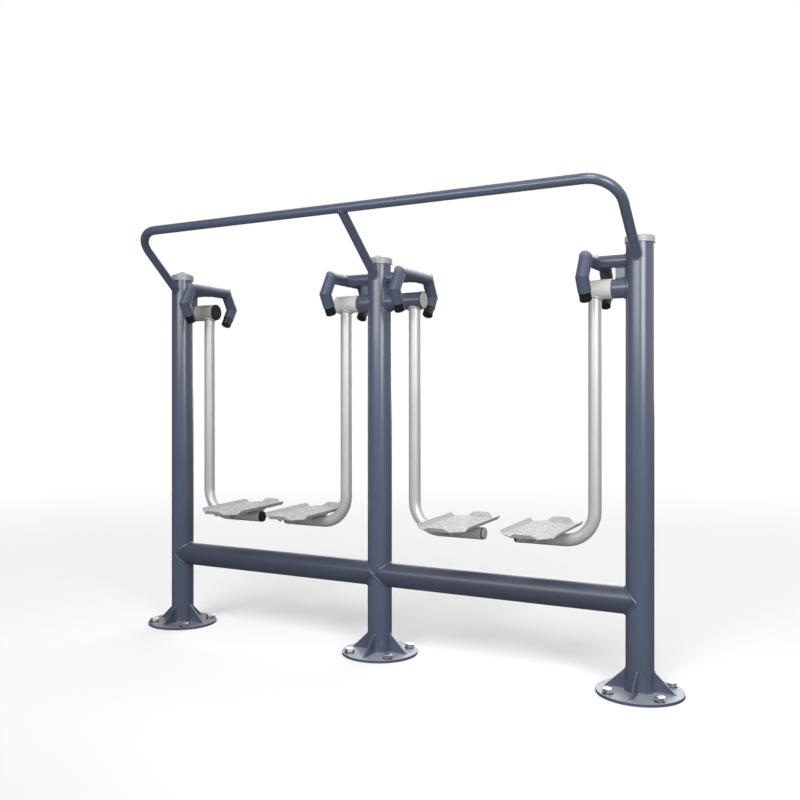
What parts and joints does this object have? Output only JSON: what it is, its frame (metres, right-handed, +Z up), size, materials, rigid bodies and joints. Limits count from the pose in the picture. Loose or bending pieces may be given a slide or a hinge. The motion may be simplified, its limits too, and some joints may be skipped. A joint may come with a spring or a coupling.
{
  "type": "outdoor air walker",
  "caption": "Outdoor air walker: tubular frame with post-mounted swing arms, tray pedals, stop forks and a bent handrail, for striding exercise in parks.",
  "frame": {"origin": "centre of the middle post's base plate, on the ground", "axes": "+X along the row of posts towards the right post, +Y away from the side that carries the handrail, +Z up"},
  "size_m": [2.175, 0.4731, 1.5978],
  "materials": {
    "frame_paint": "semi-gloss powder coat",
    "arm_paint": "semi-gloss powder coat",
    "pedal_coat": "textured anti-slip coat",
    "grey_plastic": "satin",
    "black_rubber": "matt",
    "zinc_steel": "bright zinc plating",
    "bearing_steel": "ground"
  },
  "bodies": {
    "frame": {"left_post": "frame_paint", "centre_post": "frame_paint", "right_post": "frame_paint", "left_beam": "frame_paint", "right_beam": "frame_paint", "left_base_plate": "frame_paint", "centre_base_plate": "frame_paint", "right_base_plate": "frame_paint", "base_gussets": "frame_paint", "left_post_cap": "grey_plastic", "centre_post_cap": "grey_plastic", "right_post_cap": "grey_plastic", "handrail": "frame_paint", "handrail_strut": "frame_paint", "axle_stubs": "frame_paint", "axles": "bearing_steel", "bearing_inner_rings": "bearing_steel", "axle_spacers": "bearing_steel", "axle_washers": "bearing_steel", "axle_nuts": "bearing_steel", "stop_fork_1": "frame_paint", "stop_fork_2": "frame_paint", "stop_fork_3": "frame_paint", "stop_fork_4": "frame_paint", "stop_fork_arms": "frame_paint", "stop_fork_webs": "frame_paint", "stop_buffers": "black_rubber"},
    "swing_arm_1": {"hub_1": "arm_paint", "arm_tube_1": "arm_paint", "hub_cap_1": "black_rubber", "foot_tube_plug_1": "black_rubber", "pedal_1": "pedal_coat", "pedal_bearers_1": "arm_paint", "pedal_fasteners_1": "zinc_steel", "bearing_outer_rings_1": "bearing_steel"},
    "swing_arm_2": {"hub_2": "arm_paint", "arm_tube_2": "arm_paint", "hub_cap_2": "grey_plastic", "foot_tube_plug_2": "black_rubber", "pedal_2": "pedal_coat", "pedal_bearers_2": "arm_paint", "pedal_fasteners_2": "zinc_steel", "bearing_outer_rings_2": "bearing_steel"},
    "swing_arm_3": {"hub_3": "frame_paint", "arm_tube_3": "arm_paint", "hub_cap_3": "grey_plastic", "foot_tube_plug_3": "grey_plastic", "pedal_3": "pedal_coat", "pedal_bearers_3": "arm_paint", "pedal_fasteners_3": "zinc_steel", "bearing_outer_rings_3": "bearing_steel"},
    "swing_arm_4": {"hub_4": "arm_paint", "arm_tube_4": "arm_paint", "hub_cap_4": "grey_plastic", "foot_tube_plug_4": "black_rubber", "pedal_4": "pedal_coat", "pedal_bearers_4": "arm_paint", "pedal_fasteners_4": "zinc_steel", "bearing_outer_rings_4": "bearing_steel"}
  },
  "joints": [
    {"name": "swing_1", "type": "hinge", "parent": "frame", "child": "swing_arm_1", "pos_m": [-0.81775, 0, 1.283], "axis": [1, 0, 0], "range_deg": [-54, 54]},
    {"name": "swing_2", "type": "hinge", "parent": "frame", "child": "swing_arm_2", "pos_m": [-0.13225, 0, 1.283], "axis": [1, 0, 0], "range_deg": [-54, 54]},
    {"name": "swing_3", "type": "hinge", "parent": "frame", "child": "swing_arm_3", "pos_m": [0.13225, 0, 1.283], "axis": [1, 0, 0], "range_deg": [-54, 54]},
    {"name": "swing_4", "type": "hinge", "parent": "frame", "child": "swing_arm_4", "pos_m": [0.81775, 0, 1.283], "axis": [1, 0, 0], "range_deg": [-54, 54]}
  ]
}
